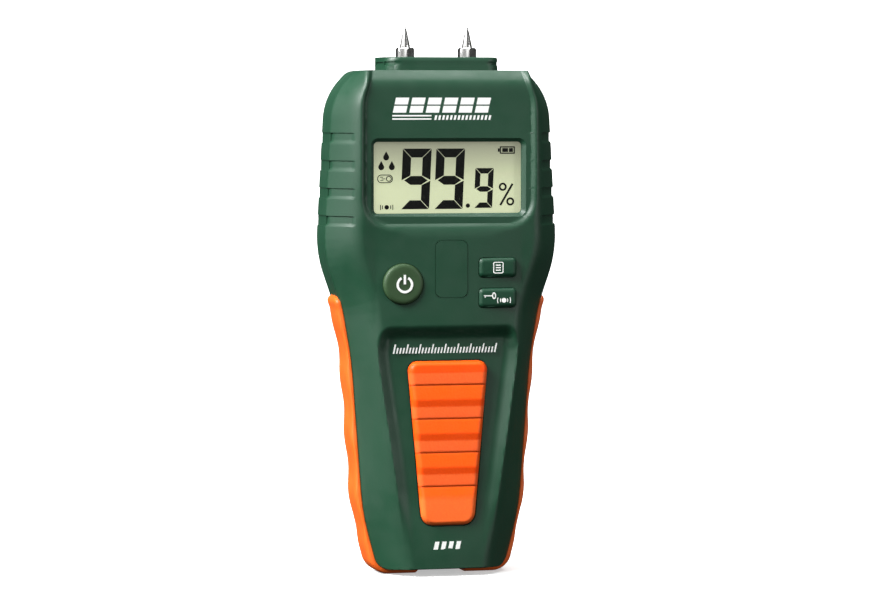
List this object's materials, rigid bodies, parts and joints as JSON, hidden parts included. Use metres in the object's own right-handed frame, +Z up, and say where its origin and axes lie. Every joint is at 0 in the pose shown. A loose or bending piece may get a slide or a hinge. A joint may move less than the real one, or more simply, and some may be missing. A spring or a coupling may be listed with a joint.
{
  "type": "moisture meter",
  "caption": "Hand-held pin and pinless moisture meter with a large liquid-crystal display, three buttons, rubber grips, a flat rear sensor pad and two screw-in electrode pins.",
  "frame": {"origin": "centre of the bounding box's base, level with the underside of the two rubber feet", "axes": "+Z up along the electrode pins, -Y out of the display face, +Y out of the sensor pad, +X to the right as the display is read"},
  "size_m": [0.0706, 0.0352, 0.163],
  "materials": {
    "case_green": "fine satin texture, moulded ABS",
    "grip_orange": "soft satin overmould",
    "window_clear": "clear, flat acrylic",
    "display_glass": "reflective grey-green liquid-crystal panel",
    "frame_white": "moulded",
    "strip_rubber": "layered conductive silicone",
    "board_green": "solder mask on glass epoxy",
    "chip_black": "moulded epoxy",
    "component_grey": "soldered parts",
    "key_olive": "satin",
    "key_green": "satin",
    "switch_black": "moulded",
    "plunger_white": "moulded",
    "electrode_steel": "polished nickel plate on hardened steel",
    "socket_brass": "turned or rolled",
    "contact_steel": "nickel plated",
    "sensor_black": "smooth wear pad",
    "battery_jacket": "painted jacket",
    "connector_black": "moulded",
    "foam_grey": "closed-cell foam",
    "screw_steel": "zinc plated",
    "lead_red": "PVC insulation",
    "lead_black": "PVC insulation",
    "lead_white": "PVC insulation"
  },
  "bodies": {
    "meter": {"front_case": "case_green", "rear_case": "case_green", "blank_key_plate": "case_green", "left_side_grip": "grip_orange", "right_side_grip": "grip_orange", "front_grip_pad": "grip_orange", "display_window": "window_clear", "lcd_panel": "display_glass", "lcd_frame": "frame_white", "contact_strips": "strip_rubber", "main_board": "board_green", "microcontroller": "chip_black", "buzzer": "chip_black", "board_components": "component_grey", "power_switch": "switch_black", "mode_switch": "switch_black", "lock_switch": "switch_black", "electrode_socket_left": "socket_brass", "electrode_socket_right": "socket_brass", "electrode_contact_left": "contact_steel", "electrode_contact_right": "contact_steel", "sensor_pad": "sensor_black", "sensor_plate": "socket_brass", "battery": "battery_jacket", "battery_terminals": "contact_steel", "battery_connector": "connector_black", "battery_foam": "foam_grey", "case_screws": "screw_steel", "board_screws": "screw_steel", "battery_lead_red": "lead_red", "battery_lead_black": "lead_black", "sensor_lead": "lead_white"},
    "power_key": {"power_button": "key_olive", "power_plunger": "plunger_white"},
    "mode_key": {"mode_button": "key_green", "mode_plunger": "plunger_white"},
    "lock_key": {"lock_button": "key_green", "lock_plunger": "plunger_white"},
    "battery_cover": {"battery_door": "case_green"},
    "electrode_left": {"electrode_pin_left": "electrode_steel"},
    "electrode_right": {"electrode_pin_right": "electrode_steel"}
  },
  "joints": [
    {"name": "power_press", "type": "slide", "parent": "meter", "child": "power_key", "axis": [0, 1, 0], "range_m": [0, 0.0008], "stiffness_N_per_m": 400, "springref_m": -0.002},
    {"name": "mode_press", "type": "slide", "parent": "meter", "child": "mode_key", "axis": [0, 1, 0], "range_m": [0, 0.0008], "stiffness_N_per_m": 400, "springref_m": -0.002},
    {"name": "lock_press", "type": "slide", "parent": "meter", "child": "lock_key", "axis": [0, 1, 0], "range_m": [0, 0.0008], "stiffness_N_per_m": 400, "springref_m": -0.002},
    {"name": "battery_door_hinge", "type": "hinge", "parent": "meter", "child": "battery_cover", "pos_m": [0, 0.0136, 0.0084], "axis": [-1, 0, 0], "range_deg": [0, 70]},
    {"name": "electrode_left_lift", "type": "slide", "parent": "meter", "child": "electrode_left", "axis": [0, 0, 1], "range_m": [0, 0.009]},
    {"name": "electrode_right_lift", "type": "slide", "parent": "meter", "child": "electrode_right", "axis": [0, 0, 1], "range_m": [0, 0.009]}
  ]
}
